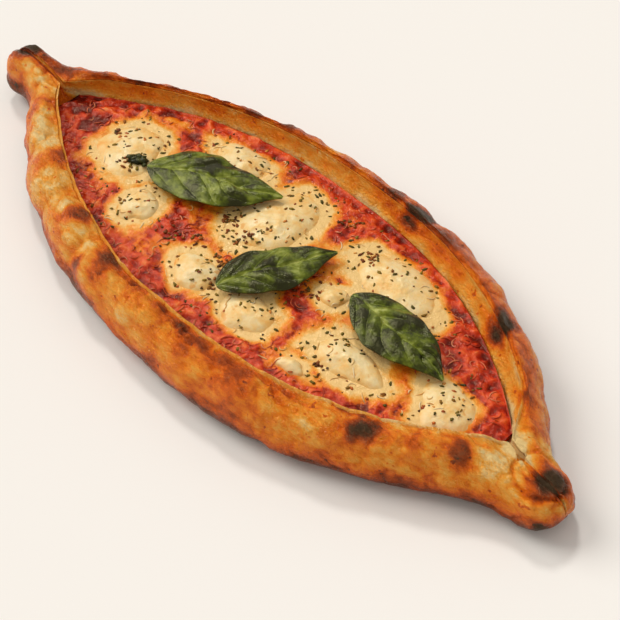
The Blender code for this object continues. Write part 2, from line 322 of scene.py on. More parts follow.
def pool_place(number, x, y):
    """How far out each point is in a pool: 0 in its middle, 1 at its outline."""
    x0, y0, long, wide, degrees = CHEESE_POOLS[number]
    angle = np.radians(degrees)
    along = ((x - x0) * np.cos(angle) + (y - y0) * np.sin(angle)) / long
    aside = (-(x - x0) * np.sin(angle) + (y - y0) * np.cos(angle)) / wide
    turn = np.arctan2(aside, along)
    return np.hypot(along, aside) / pool_outline(number, turn)


def halo(x, y):
    """1 under the cheese, falling to 0 about HALO outside the nearest pool."""
    nearest = np.full(np.broadcast(x, y).shape, 9.0)
    for number, (_, _, long, wide, _) in enumerate(CHEESE_POOLS):
        outside = (pool_place(number, x, y) - 1) * min(long, wide)
        nearest = np.minimum(nearest, outside / HALO)
    return np.clip(1 - nearest, 0, 1)


def melt(x, y):
    """How much melted cheese and its oil lie over the sauce.

    It is high round the pools, patchy between them and none along the rim."""
    across = (y - centre_line(x)) / opening_half_width(x) - 0.04
    wander = 0.07 * layered(plan(x, y), 0.009, 2, 44)
    inside = smooth_step(1 - np.abs(across) + wander, 0.10, 0.30)
    inside = inside * smooth_step(x + 0.05 * wander, -0.103, -0.090) * smooth_step(-x, -0.119, -0.108)
    inside = inside * (1 - smooth_step(x + 0.6 * y, 0.088, 0.100) * smooth_step(y, 0.002, 0.010))
    patchy = 0.5 + 0.5 * layered(plan(x, y), 0.0075, 3, 40)
    saucy = sum(np.exp(-(((x - px) ** 2 + (y - py) ** 2) / size**2)) for px, py, size in SAUCY_PATCHES)
    over = inside * (0.02 + 0.56 * patchy) + (0.25 + 0.75 * inside) * 0.60 * halo(x, y) ** 1.4
    return np.clip(over - 0.42 * saucy * (1 - 0.5 * halo(x, y)), 0, 1)


def outward(grid, wrap):
    """Unit normals of a grid of points (n, m, 3) by central differences; wrap closes the second way round."""
    along = np.gradient(grid, axis=0)
    if wrap:
        around = np.roll(grid, -1, axis=1) - np.roll(grid, 1, axis=1)
    else:
        around = np.gradient(grid, axis=1)
    normal = np.cross(around, along)
    return normal / np.maximum(np.linalg.norm(normal, axis=-1, keepdims=True), 1e-12)


def solid(name, vertices, faces, finish, attributes):
    """A closed object from vertices (n, 3) and arrays of faces, turned outward, with values per vertex."""
    corners = np.concatenate([face[:, [0, i, i + 1]] for face in faces for i in range(1, face.shape[1] - 1)])
    a, b, c = (vertices[corners[:, i]] for i in range(3))
    if np.einsum("ij,ij->", a, np.cross(b, c)) < 0:
        faces = [face[:, ::-1] for face in faces]
    mesh = bpy.data.meshes.new(name)
    sizes = np.concatenate([np.full(len(face), face.shape[1]) for face in faces]).astype(np.int32)
    loops = np.concatenate([face.reshape(-1) for face in faces]).astype(np.int32)
    mesh.vertices.add(len(vertices))
    mesh.vertices.foreach_set("co", np.ascontiguousarray(vertices, np.float32).reshape(-1))
    mesh.loops.add(len(loops))
    mesh.loops.foreach_set("vertex_index", loops)
    mesh.polygons.add(len(sizes))
    mesh.polygons.foreach_set("loop_start", np.concatenate([[0], np.cumsum(sizes)[:-1]]).astype(np.int32))
    mesh.polygons.foreach_set("use_smooth", np.ones(len(sizes), bool))
    for label, values in attributes.items():
        layer = mesh.attributes.new(label, "FLOAT", "POINT")
        layer.data.foreach_set("value", np.ascontiguousarray(values, np.float32).reshape(-1))
    mesh.update(calc_edges=True)
    mesh.validate()
    mesh.materials.append(finish)
    made = bpy.data.objects.new(name, mesh)
    bpy.context.scene.collection.objects.link(made)
    return made


def ring_faces(rings, count):
    """Indices of the points of rings (rings, count), of the ones that follow them, and the quads between."""
    index = np.arange(rings * count).reshape(rings, count)
    following = np.roll(index, -1, axis=1)
    quads = np.stack([index[:-1], following[:-1], following[1:], index[1:]], axis=-1).reshape(-1, 4)
    return index, following, quads


def fan(first, second, point):
    """Triangles from each pair of neighbouring points to one point."""
    return np.stack([first, second, np.full(len(first), point)], axis=-1)


def ring_solid(name, rings, ends, finish, attributes):
    """A closed object from rings (stations, points, 3) with a point at each end, and values per point."""
    index, following, quads = ring_faces(*rings.shape[:2])
    first = fan(following[0], index[0], index.size)
    last = fan(index[-1], following[-1], index.size + 1)
    values = {}
    for label, given in attributes.items():
        values[label] = np.concatenate([given.reshape(-1), [given[0].mean(), given[-1].mean()]])
    vertices = np.concatenate([rings.reshape(-1, 3), ends])
    return solid(name, vertices, [quads, first, last], finish, values)


def disc_solid(name, over, under, finish, attributes):
    """A closed flat piece from a top and a bottom grid (rings, points, 3), with ring 0 at the outline."""
    index, following, top = ring_faces(*over.shape[:2])
    offset = index.size
    bottom = top[:, ::-1] + offset
    side = np.stack([index[0] + offset, following[0] + offset, following[0], index[0]], axis=-1)
    crown = fan(index[-1], following[-1], 2 * offset)
    foot = fan(following[-1] + offset, index[-1] + offset, 2 * offset + 1)
    ends = np.stack([over[-1].mean(axis=0), under[-1].mean(axis=0)])
    vertices = np.concatenate([over.reshape(-1, 3), under.reshape(-1, 3), ends])
    values = {}
    for label, given in attributes.items():
        flat = given.reshape(-1)
        values[label] = np.concatenate([flat, flat, [given[-1].mean()] * 2])
    return solid(name, vertices, [top, bottom, side, crown, foot], finish, values)


def many(name, pieces, faces, finish, attributes):
    """Copies of one small closed piece as one object: pieces (copies, points, 3), faces of one copy."""
    copies, points = pieces.shape[:2]
    shift = (np.arange(copies) * points)[:, None, None]
    all_faces = [(face[None] + shift).reshape(-1, face.shape[1]) for face in faces]
    values = {label: np.repeat(given, points) for label, given in attributes.items()}
    return solid(name, pieces.reshape(-1, 3), all_faces, finish, values)


def declare(piece, nodes):
    """The piece rides on the root body and stands for its CAD nodes, which are hidden."""
    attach(piece, "root")
    if nodes:
        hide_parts(*nodes)


class Nodes:
    """Short calls that add and link shader nodes of one material."""

    def __init__(self, name):
        self.material = bpy.data.materials.new(name)
        self.material.use_nodes = True
        self.tree = self.material.node_tree
        self.shader = self.tree.nodes["Principled BSDF"]

    def add(self, kind, inputs=None, **settings):
        node = self.tree.nodes.new(kind)
        for key, value in settings.items():
            setattr(node, key, value)
        for key, value in (inputs or {}).items():
            self.feed(node.inputs[key], value)
        return node

    def feed(self, socket, value):
        if isinstance(value, bpy.types.NodeSocket):
            self.tree.links.new(value, socket)
        else:
            socket.default_value = value

    def place(self):
        return self.add("ShaderNodeTexCoord").outputs["Object"]

    def value(self, label):
        return self.add("ShaderNodeAttribute", attribute_name=label).outputs["Fac"]

    def noise(self, size, detail=3.0, roughness=0.55, distortion=0.0, stretch=1.0):
        """Noise texture whose features are about size metres across, and stretch times as long along x."""
        place = self.place()
        if stretch != 1.0:
            squeeze = {0: place, 1: (1 / stretch, 1, 1)}
            place = self.add("ShaderNodeVectorMath", squeeze, operation="MULTIPLY").outputs[0]
        inputs = {"Vector": place, "Scale": 1 / size, "Detail": detail, "Roughness": roughness}
        inputs["Distortion"] = distortion
        return self.add("ShaderNodeTexNoise", inputs).outputs["Fac"]

    def math(self, operation, first, second=0.0, third=0.0, clamp=False):
        inputs = {0: first, 1: second, 2: third}
        return self.add("ShaderNodeMath", inputs, operation=operation, use_clamp=clamp).outputs[0]

    def plus(self, value, pattern, scale, shift, clamp=False):
        """value + scale * pattern + shift."""
        return self.math("ADD", value, self.math("MULTIPLY_ADD", pattern, scale, shift), clamp=clamp)

    def spread(self, value, low, high, to_low=0.0, to_high=1.0):
        inputs = {"Value": value, "From Min": low, "From Max": high, "To Min": to_low, "To Max": to_high}
        return self.add("ShaderNodeMapRange", inputs, interpolation_type="SMOOTHSTEP").outputs["Result"]

    def ramp(self, value, stops):
        """Colour ramp over (position, (r, g, b)) stops."""
        node = self.add("ShaderNodeValToRGB", {"Fac": value})
        elements = node.color_ramp.elements
        while len(elements) < len(stops):
            elements.new(0.5)
        for element, (position, colour) in zip(elements, stops):
            element.position = position
            element.color = (*colour, 1)
        return node.outputs["Color"]

    def mix(self, share, first, second):
        node = self.add("ShaderNodeMix", data_type="RGBA")
        self.feed(node.inputs["Factor"], share)
        for socket, colour in ((node.inputs[6], first), (node.inputs[7], second)):
            self.feed(socket, colour if isinstance(colour, bpy.types.NodeSocket) else (*colour, 1))
        return node.outputs[2]

    def bump(self, height, distance, strength=1.0, before=None):
        inputs = {"Height": height, "Distance": distance, "Strength": strength}
        if before:
            inputs["Normal"] = before
        return self.add("ShaderNodeBump", inputs).outputs["Normal"]

    def finish(self, **inputs):
        for key, value in inputs.items():
            self.feed(self.shader.inputs[key.replace("_", " ")], value)
        return self.material


def crust_finish(settings):
    """Baked dough: pale to golden to charred by the bake value, which also carries painted shade and painted
    highlights, with fine crinkles and an egg-wash shine.
    """
    n = Nodes("baked_dough")
    fine = n.noise(0.0013, 4.0, 0.62, 1.6, 1.6)
    middle = n.noise(0.0040, 3.0, 0.6, 0.8, 1.8)
    broad = n.noise(0.013, 2.0, 0.5, 0.0, 1.4)
    bake_and_shading = n.plus(n.value("bake_and_shading"), broad, 0.30, -0.15)
    bake_and_shading = n.plus(bake_and_shading, middle, 0.36, -0.18)
    bake_and_shading = n.plus(bake_and_shading, fine, 0.36, -0.18)
    bake_and_shading = n.math("ADD", bake_and_shading, n.spread(n.noise(0.0034, 2.0, 0.5), 0.66, 0.74, 0.0, 0.26))
    bake_and_shading = n.math("ADD", bake_and_shading, settings.crust_browning, clamp=True)
    colour = n.ramp(bake_and_shading, (
        (0.00, (0.98, 0.70, 0.30)), (0.15, (0.98, 0.43, 0.055)), (0.30, (0.94, 0.250, 0.008)),
        (0.45, (0.78, 0.120, 0.002)), (0.60, (0.42, 0.050, 0.002)), (0.75, (0.19, 0.022, 0.003)),
        (0.88, (0.060, 0.011, 0.004)), (1.0, (0.022, 0.007, 0.004)),
    ))
    crinkle = n.noise(0.0020, 5.0, 0.66, 2.2, 1.8)
    rough = n.spread(crinkle, 0.3, 0.7, 0.11, 0.28)
    rough = n.math("ADD", rough, n.spread(bake_and_shading, 0.7, 1.0, 0.0, 0.2))
    normal = n.bump(n.noise(0.0046, 3.0, 0.6, 1.4, 1.6), 0.0014, 0.55)
    normal = n.bump(crinkle, 0.0015, 0.95, normal)
    return n.finish(Base_Color=colour, Roughness=rough, Normal=normal, Specular_IOR_Level=0.60,
                    Specular_Tint=(1.0, 0.74, 0.36, 1))


def crust_half(x, side, counts):
    """Half of the dough's section: (y, z) with y >= 0 and the girth value of each point.

    The girth runs -1 to 0 under the foot, 0 to 1 over the outside, 1 to 2 down the inner wall and 2 to 3
    on the floor."""
    wide, opening = outer_half_width(x, side), opening_half_width(x)
    ridge, lip, floor = ridge_height(x), lip_height(x), floor_height(x)
    roll = wide - opening
    foot = wide - np.minimum(0.0065, 0.5 * wide)
    inner = np.minimum(WALL_UNDERCUT, 0.3 * opening)
    slope = WALL_SLOPE[side] * smooth_step(opening, 0.001, 0.012)
    over = lip_overhang(x, side)
    outer = spline(stacked(
        (foot, 0 * x), (wide - 0.04 * roll, 0.22 * ridge), (wide, 0.45 * ridge),
        (wide - 0.18 * roll, 0.80 * ridge), (wide - 0.55 * roll - 0.4 * over, ridge),
        (opening + (0.14 + 0.75 * slope) * roll - over, 0.4 * ridge + 0.6 * lip),
        (opening + slope * roll - over, lip),
    ), counts[0])
    corner = np.minimum(0.0045, 0.6 * opening)
    wall = spline(stacked(
        (opening + slope * roll - over, lip),
        (opening + inner + 0.18 * slope * roll, 0.55 * lip + 0.45 * floor),
        (opening + 0.4 * inner, 0.2 * lip + 0.8 * floor), (opening - corner, floor),
    ), counts[1])[:, 1:]
    across = np.linspace(1, 0, counts[2] + 1)[1:-1]
    flat = stacked(*[((opening - corner) * share, floor) for share in across])
    under = stacked(*[(foot * share, 0 * x) for share in np.linspace(0, 1, counts[3] + 1)[1:-1]])
    girth = np.concatenate([
        np.linspace(-1, 0, counts[3] + 1)[1:-1], np.linspace(0, 1, counts[0]),
        np.linspace(1, 2, counts[1])[1:], np.linspace(2, 3, counts[2] + 1)[1:-1],
    ])
    return np.concatenate([under, outer, wall, flat], axis=1), girth


def crust_grid(stations, counts):
    """Rings of the plain dough (stations, points, 3), its end points, girth values and side signs."""
    spread = np.linspace(0, np.pi, stations + 2)[1:-1]
    x = HALF_LENGTH * (0.35 * -np.cos(spread) + 0.65 * (2 * spread / np.pi - 1))
    start = HALF_LENGTH - np.where(x < 0, KNOB_RADIUS["left"], KNOB_RADIUS["right"])
    held = np.clip(x, -start, start)
    far, girth = crust_half(held, "far", counts)
    near, _ = crust_half(held, "near", counts)
    near = near * np.array([-1, 1])
    foot_middle, floor_middle = stacked((0 * held, 0 * held)), stacked((0 * held, floor_height(held)))
    section = np.concatenate([foot_middle, far, floor_middle, near[:, ::-1]], axis=1)
    girths = np.concatenate([[-1], girth, [3], girth[::-1]])
    signs = np.concatenate([[0], 0 * girth + 1, [0], 0 * girth - 1])
    scale, centre = tip_scale(x)[:, None], 0.5 * ridge_height(held)[:, None]
    y = section[:, :, 0] * scale + centre_line(x)[:, None]
    z = centre + (section[:, :, 1] - centre) * scale
    rings = points_of(x[:, None], y, z)
    tips = np.array([-HALF_LENGTH, HALF_LENGTH])
    ends = points_of(tips, centre_line(tips), 0.5 * ridge_height(tips))
    shape = y.shape
    return rings, ends, np.broadcast_to(girths, shape), np.broadcast_to(signs, shape)


def pleats(x, girth, signs):
    """Depth of the soft diagonal pleats: a raised cosine to the fourth along x, leaning with the girth."""
    turns = (x - PLEAT_START) / PLEAT_LENGTH - PLEAT_LEAN * (girth - 0.5)
    wave = (0.5 + 0.5 * np.cos(2 * np.pi * turns)) ** 2
    rope = smooth_step(-x, 0.030, 0.060) * (signs < 0)
    share = (turns + 0.5) % 1.0 - 0.5
    fold = np.exp(-np.abs(share) / np.where(share > 0, 0.17, 0.045))
    wave = wave + rope * (0.62 * fold - 0.55 * wave)
    window = np.sin(np.pi * np.clip(girth, 0, 1) ** 1.5) * smooth_step(0.150 - np.abs(x), 0, 0.02)
    near = PLEAT_DEPTH["near"] * (0.25 + 0.75 * smooth_step(-x, 0.02, 0.06))
    return np.where(signs > 0, PLEAT_DEPTH["far"], near) * window * wave


def bell(value, middle, width):
    """1 at the middle, falling off as a Gauss curve of that width."""
    return np.exp(-(((value - middle) / width) ** 2))


def up_to(x, end, fade=0.02):
    """1 in the middle of the boat, fading to 0 at that distance from it along x."""
    return smooth_step(end - np.abs(x), 0, fade)


def spot_softness(y, strength):
    """Share of a spot's toast that shows: less for weak spots, least on the far side."""
    if y > 0 and strength < 0.6:
        return 0.66
    return 0.88 if strength < 0.35 else 1.10


def spot_strength(grid, girth):
    """Toast added by the spots, and the blisters they raise: bells round the crust point nearest each spot.

    A spot's distance counts less across the rim than along it, by its stretch."""
    toast = np.zeros(grid.shape[:2])
    raised = np.zeros(grid.shape[:2])
    wobble = 1 + 0.42 * layered(grid, 0.006, 3, 7)
    outside = (girth > 0.25) & (girth <= 1.0)
    along = np.gradient(grid, axis=0)
    along /= np.maximum(np.linalg.norm(along, axis=-1, keepdims=True), 1e-9)
    for x, y, radius, strength, stretch in TOAST_SPOTS:
        gap = np.where(outside, np.hypot(grid[..., 0] - x, grid[..., 1] - y), 9.0)
        nearest = np.unravel_index(np.argmin(gap), gap.shape)
        offset = grid - grid[nearest]
        run = offset @ along[nearest]
        aside = np.sqrt(np.maximum(np.sum(offset**2, axis=-1) - run**2, 0))
        far = np.hypot(run, aside / stretch) / (radius * wobble)
        spot = 0.68 * np.exp(-(far**3.0)) + 0.32 * bell(far, 0, 1.7)
        toast += spot_softness(y, strength) * strength * spot
        raised += np.clip(strength, 0, 0.6) * np.exp(-(far**2) * 1.3)
    return toast, raised


def make_crust(settings):
    """The dough: the boat's section lofted along x, with pleats, creases, blisters and crinkles pressed in.

    push is how far each point moves along its normal, in metres; bake is 0 for pale dough and 1 for char, and
    it also holds painted shade low on the rim, in the creases and under the far lip, and painted highlights
    on the near crest and along the lip."""
    grid, ends, girth, signs = crust_grid(690, (50, 15, 3, 3))
    x = grid[..., 0]
    near = (signs < 0).astype(float)
    normal = outward(grid, True)
    if np.einsum("ijk,ijk->", normal[:, 20:30], grid[:, 20:30] * [0, 1, 0]) < 0:
        normal = -normal
    shown = plateau(girth, 0.02, 0.15, 1.7, 2.0)
    outside = plateau(girth, 0.05, 0.25, 0.86, 1.0)
    toast, raised = spot_strength(grid, girth)
    depth = pleats(x, girth, signs)

    # The pinched lip: a bead, the crease under it, darkened as painted shade, and a ribbon between them,
    # painted pale as a highlight along the lip
    bead = bell(girth, 0.970, 0.026) * up_to(x, 0.140)
    crease_line = 0.922 - 0.012 * noise(grid, 0.012, 3)
    groove = bell(girth, crease_line, 0.014) * up_to(x, 0.140)
    ribbon = smooth_step(girth - crease_line, 0.0, 0.014) * up_to(x, 0.140) * (girth < 1.08)

    # Lumps, crinkles and the folded skin
    lumps = layered(grid * [0.6, 1, 1], 0.0075, 2, 13)
    crease = (1 - np.abs(layered(grid * [0.55, 1, 1], 0.0058, 2, 21))) ** 4
    crinkle = 0.00036 * layered(grid * [0.6, 1, 1], 0.0038, 3, 24) - 0.00045 * crease
    skin = plateau(x, -0.036, -0.012, 0.050, 0.080) * near * bell(girth, 0.76, 0.14)
    folds = 1 - 2.2 * np.abs(noise(grid * [0.8, 1.1, 1.1], 0.0032, 39)) - np.abs(noise(grid, 0.0018, 41))
    upper = smooth_step(girth, 0.35, 0.60) * (girth < 0.94)
    swell = bell(girth, 1.48, 0.20) - 0.8 * bell(girth, 1.14, 0.10)

    # The ring pressed into the top of the right knob, its hollow darkened as painted shade
    swirl = np.hypot(x - 0.1490, (grid[..., 1] + 0.0045) * 1.05)
    ring = bell(swirl, 0.0100, 0.0008) * smooth_step(grid[..., 2], 0.006, 0.010) * (girth > 0)

    push = -depth
    push += outside * 0.0009 * layered(grid, 0.018, 2, 11)
    push += outside * 0.00045 * lumps
    push += shown * settings.crust_crinkle * crinkle
    push += outside * 0.0009 * raised
    push += (0.0008 * skin + 0.00022 * upper) * folds
    push += near * (0.0010 * bead - 0.0011 * groove) + (1 - near) * (0.0007 * bead - 0.0006 * groove)
    push += 0.0007 * swell * (0.7 + 0.5 * noise(grid * [0.6, 1, 0], 0.010, 37)) * up_to(x, 0.125)
    push -= 0.0010 * ring
    grid = grid + normal * push[..., None]
    grid = np.clip(grid, np.array(CAD_BOX[0]) * [1, 1, 0], CAD_BOX[1])

    # Painted shade: the bake rises towards the bottom of the rim (low) and in the deepest pleat hollows,
    # darkening the dough where shade falls.
    low = smooth_step(-grid[..., 2], -0.017, -0.003)
    bake_and_shading = 0.17 + 0.10 * layered(grid, 0.014, 3, 31) + 0.58 * low + 0.06 * smooth_step(depth, 0.0008, 0.0022)
    # Painted shade and highlight: darker in the sunk creases, paler on the raised lumps.
    bake_and_shading += (0.15 * crease - 0.05 * lumps) * outside
    streaks = 1 + 0.9 * noise(grid * [0.5, 1, 1], 0.0045, 33)
    bake_and_shading += np.where(signs > 0, 0.16 * bell(girth, 0.68, 0.20) * streaks, 0.0) * outside
    inner = smooth_step(girth, 0.90, 1.02)
    # On the far inner wall: a painted shade band just under the lip, paler lower down, and the reddish stain
    # of the sauce near the floor.
    wall = 0.24 * bell(girth, 1.16, 0.15) + 0.42 * smooth_step(girth, 1.62, 1.95) - 0.20
    bake_and_shading += inner * np.where(signs > 0, wall, 0.15) + 0.05 * inner * noise(grid, 0.012, 5)
    bake_and_shading -= 0.26 * bell(np.hypot(x - 0.135, grid[..., 1] - 0.002), 0, 0.011)
    bake_and_shading -= 0.02 * plateau(x, 0.095, 0.125, 0.140, 0.150) * near
    # Painted highlight: the top of the near roll on the left is made paler, where the light catches it.
    crest_highlight = bell(girth, 0.66, 0.13) * near * smooth_step(-x, 0.000, 0.060)
    bake_and_shading -= 0.20 * crest_highlight + 0.08 * smooth_step(x, 0.138, 0.146) * (1 - low)
    wrinkled = plateau(x, -0.034, -0.012, 0.060, 0.090) * near
    bake_and_shading += 0.09 * wrinkled * bell(girth, 0.80, 0.09) * (1 + noise(grid, 0.007, 35))
    # The skin zone browns a little more; its raised folds are painted paler as a highlight.
    bake_and_shading += 0.02 * skin - 0.06 * upper * folds
    # Painted shade: the lip crease (groove) and the knob's ring are darkened in their hollows.
    bake_and_shading += toast * (1 - 0.85 * ribbon * near) + 0.16 * ring + 0.22 * groove
    # Painted highlight: the lip ribbon is pulled towards pale dough, a bright line where the lip catches the
    # light.
    bake_and_shading += ribbon * (0.12 - bake_and_shading) * (0.25 + 0.45 * near)
    return ring_solid("crust_dough", grid, ends, crust_finish(settings), {"bake_and_shading": bake_and_shading})


def sauce_finish(settings):
    """Tomato sauce: wet red pulp, painted darker in its hollows and lighter on its clumps as shade and
    highlight, orange to cream where cheese melted over it.
    """
    n = Nodes("tomato_sauce")
    fine = n.noise(0.0020, 4.0, 0.6, 1.0)
    middle = n.noise(0.0045, 3.0, 0.6, 0.8)
    broad = n.noise(0.011, 3.0, 0.6)
    tone = n.math("MULTIPLY_ADD", broad, 0.75, n.math("MULTIPLY_ADD", middle, 0.80, -0.42))
    tone = n.plus(tone, fine, 0.30, -0.15)
    # Painted shade and highlight: the tone follows the pulp's height, darker in the hollows, lighter on the
    # clumps.
    tone = n.math("ADD", tone, n.math("MULTIPLY", n.value("relief"), 0.20), clamp=True)
    red = n.ramp(tone, (
        (0.16, (0.14, 0.004, 0.0008)), (0.34, (0.38, 0.013, 0.002)), (0.52, (0.64, 0.042, 0.006)),
        (0.68, (0.78, 0.105, 0.016)), (0.84, (0.86, 0.24, 0.050)), (1.0, (0.89, 0.42, 0.15)),
    ))
    over = n.plus(n.value("melt"), middle, 0.50, -0.25)
    over = n.plus(over, fine, 0.40, -0.20, clamp=True)
    cheese = n.ramp(over, (
        (0.14, (0.60, 0.070, 0.004)), (0.32, (0.80, 0.17, 0.008)), (0.48, (0.86, 0.30, 0.022)),
        (0.62, (0.88, 0.45, 0.090)), (0.78, (0.89, 0.60, 0.23)),
    ))
    colour = n.mix(n.spread(over, 0.12, 0.30), red, cheese)
    rough = n.spread(n.noise(0.003), 0.35, 0.65, settings.sauce_roughness, settings.sauce_roughness + 0.2)
    normal = n.bump(n.noise(0.0018, 4.0, 0.6, 1.2), 0.0008, 0.6)
    return n.finish(Base_Color=colour, Roughness=rough, Normal=normal, Specular_IOR_Level=0.50,
                    Specular_Tint=(1.0, 0.66, 0.48, 1))


def sauce_relief(x, y):
    """Height of the pulp over the smooth filling, in metres: folded noise clumps, calmer under the cheese."""
    place = plan(x, y)
    clumps = 1 - np.abs(layered(place, 0.0085, 3, 50)) * 1.6
    grain = layered(place, 0.0030, 2, 60)
    calm = 1 - 0.72 * smooth_step(melt(x, y), 0.15, 0.6)
    lumps = 1 - 1.8 * np.abs(noise(place, 0.0042, 58))
    return (0.00085 * (clumps - 0.5) + 0.00050 * lumps + 0.00035 * grain) * calm


def make_sauce(settings):
    """The sauce: a loft that fills the boat, its top raised by pulp clumps."""
    x = np.linspace(*SAUCE_ENDS, 560)
    reach = opening_half_width(x) + 2 * GAP
    under = np.minimum(floor_height(x) + 2 * GAP, SAUCE_EDGE_HEIGHT - 0.0014)
    depth = SAUCE_EDGE_HEIGHT - under
    toe = np.minimum(0.0085, 0.75 * reach)
    half = stacked(
        (0.5 * (reach - toe), under), (reach - toe, under), (reach - 0.35 * toe, under + 0.28 * depth),
        (reach - 0.06 * toe, under + 0.65 * depth), (reach, 0 * x + SAUCE_EDGE_HEIGHT),
    )
    across = np.linspace(1, -1, 150)[1:-1]
    shift = centre_line(x)
    top_y = reach[:, None] * across
    top_z = filling_height(x[:, None], top_y + shift[:, None])
    edge = smooth_step(1 - np.abs(across), 0.0, 0.04)
    climb = 0.0012 * (0.6 + layered(plan(x[:, None], 0.05 * np.sign(top_y)), 0.008, 3, 66)) * (1 - edge)
    relief = sauce_relief(x[:, None], top_y) * (0.3 + 0.7 * edge) + climb
    section = np.concatenate([
        stacked((0 * x, under)), half, points_of(top_y, top_z + relief),
        half[:, ::-1] * np.array([-1, 1]),
    ], axis=1)
    section[:, :, 0] += shift[:, None]
    rings = points_of(x[:, None], section[..., 0], section[..., 1])
    ends = np.array([rings[0].mean(axis=0), rings[-1].mean(axis=0)])
    # The pulp's height, which the sauce colour turns into painted shade and highlight.
    height = np.zeros(rings.shape[:2])
    height[:, 6:-5] = relief / 0.0006
    values = {"relief": height, "melt": melt(rings[..., 0], rings[..., 1])}
    return ring_solid("tomato_sauce_pulp", rings, ends, sauce_finish(settings), values)


def cheese_finish(settings):
    """Melted mozzarella: cream, yellower and orange at its thin edges, with a few toasted freckles."""
    n = Nodes("melted_mozzarella")
    broad = n.noise(0.0085, 3.0, 0.6)
    middle = n.noise(0.0040, 3.0, 0.6, 0.8)
    fine = n.noise(0.0018, 4.0, 0.6, 0.6)
    stain = n.plus(n.value("edge"), broad, 1.10, -0.50)
    stain = n.plus(stain, middle, 0.60, -0.27)
    stain = n.math("ADD", stain, settings.cheese_toast, clamp=True)
    colour = n.ramp(stain, (
        (0.08, (0.90, 0.72, 0.39)), (0.32, (0.88, 0.60, 0.24)), (0.54, (0.87, 0.48, 0.13)),
        (0.72, (0.84, 0.30, 0.035)), (0.95, (0.70, 0.13, 0.010)),
    ))
    freckle = n.spread(n.noise(0.0050, 2.0, 0.5), 0.64, 0.72)
    colour = n.mix(n.math("MULTIPLY", freckle, 0.7), colour, (0.74, 0.33, 0.06))
    normal = n.bump(middle, 0.0006, 0.4)
    normal = n.bump(fine, 0.0004, 0.5, normal)
    rough = n.spread(n.noise(0.004), 0.3, 0.7, 0.24, 0.42)
    return n.finish(Base_Color=colour, Roughness=rough, Normal=normal, Subsurface_Weight=0.12,
                    Subsurface_Radius=(0.003, 0.002, 0.001), Subsurface_Scale=1.0, Specular_IOR_Level=0.36,
                    Specular_Tint=(1.0, 0.88, 0.66, 1))


def cheese_height(number, x, y):
    """Height of a pool's dome, (1 - place ** 2) ** 2 out to its outline, with soft lumps and dimples."""
    place = np.clip(pool_place(number, x, y), 0, 1)
    dome = (1 - place**2) ** 2
    lumps = 0.12 * layered(plan(x, y), 0.0075, 2, 70) + 0.07 * layered(plan(x, y), 0.0024, 2, 80)
    return CHEESE_THICKNESS * dome * (0.70 + 1.3 * lumps)


def make_cheese(number, finish):
    """One pool: rings drawn in from a ragged outline, the top following the crown of the sauce."""
    x0, y0, long, wide, degrees = CHEESE_POOLS[number]
    turn = np.linspace(0, 2 * np.pi, 180, endpoint=False)
    share = np.linspace(1, 0.02, 56)[:, None]
    ragged = 1 + 0.09 * layered(plan(np.cos(turn) + number * 7.7, np.sin(turn)), 0.55, 4, 90)
    out = pool_outline(number, turn) * (1 + (ragged - 1.04) * share**2)
    angle = np.radians(degrees)
    along, aside = turned(long * out * share * np.cos(turn), wide * out * share * np.sin(turn), angle)
    x, y = x0 + along, y0 + aside
    base = filling_height(x, y)
    rim = smooth_step(share + 0 * x, 0.62, 1.0)
    top = base + CHEESE_FLOAT - CHEESE_SINK * rim + cheese_height(number, x, y)
    over, under = points_of(x, y, top), points_of(x, y, base - 0.0016)
    return disc_solid(f"cheese_pool_{number + 1}", over, under, finish, {"edge": rim * 0.36 + 0.16})


def leaf_finish(settings):
    """Basil: dark glossy green with paler veins and a mottled, slightly wilted blade."""
    n = Nodes("basil_leaf")
    tone = n.math("MULTIPLY_ADD", n.noise(0.009, 3.0), 1.6, -0.36)
    tone = n.math("ADD", tone, n.math("MULTIPLY", n.value("vein"), 0.26))
    tone = n.plus(tone, n.noise(0.0016, 3.0), 0.3, -0.15, clamp=True)
    colour = n.ramp(tone, (
        (0.30, (0.010, 0.010, 0.001)), (0.43, (0.032, 0.042, 0.002)), (0.55, (0.082, 0.108, 0.005)),
        (0.70, (0.180, 0.215, 0.020)), (1.0, (0.42, 0.44, 0.11)),
    ))
    normal = n.bump(n.noise(0.0013, 4.0, 0.6), 0.0005, 0.7)
    return n.finish(Base_Color=colour, Roughness=settings.leaf_roughness, Normal=normal,
                    Specular_IOR_Level=0.46, Specular_Tint=(1.0, 1.0, 0.50, 1))


